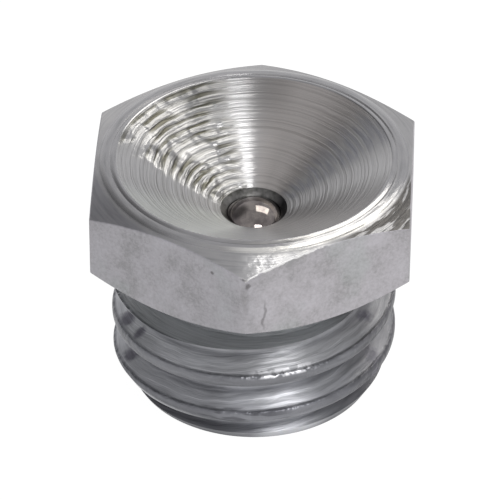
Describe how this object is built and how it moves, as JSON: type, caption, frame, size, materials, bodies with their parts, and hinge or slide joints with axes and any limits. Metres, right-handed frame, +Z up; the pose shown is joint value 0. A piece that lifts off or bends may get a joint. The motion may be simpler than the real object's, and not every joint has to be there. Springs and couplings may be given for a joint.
{
  "type": "grease nipple",
  "caption": "Funnel-type grease nipple: hexagon head with a conical mouth, a sprung ball in its throat and a short external thread.",
  "frame": {"origin": "middle of the end face below the thread, which the part stands on", "axes": "+Z up the screw's axis and out of the funnel; +Y through two opposite corners of the hexagon, +X across two of its flats"},
  "size_m": [0.007, 0.008, 0.0058],
  "materials": {
    "plated_steel": "turned and bright zinc plated, matt on the bar's flats",
    "polished_ball": "polished hardened steel",
    "spring_wire": "drawn wire"
  },
  "bodies": {
    "nipple": {"nipple_body": "plated_steel", "ball_spring": "spring_wire"},
    "ball": {"check_ball": "polished_ball"}
  },
  "joints": [
    {"name": "ball_lift", "type": "slide", "parent": "nipple", "child": "ball", "axis": [0, 0, -1], "range_m": [0, 0.0006], "stiffness_N_per_m": 300, "springref_m": -0.0005, "deforming": ["ball_spring"]}
  ]
}
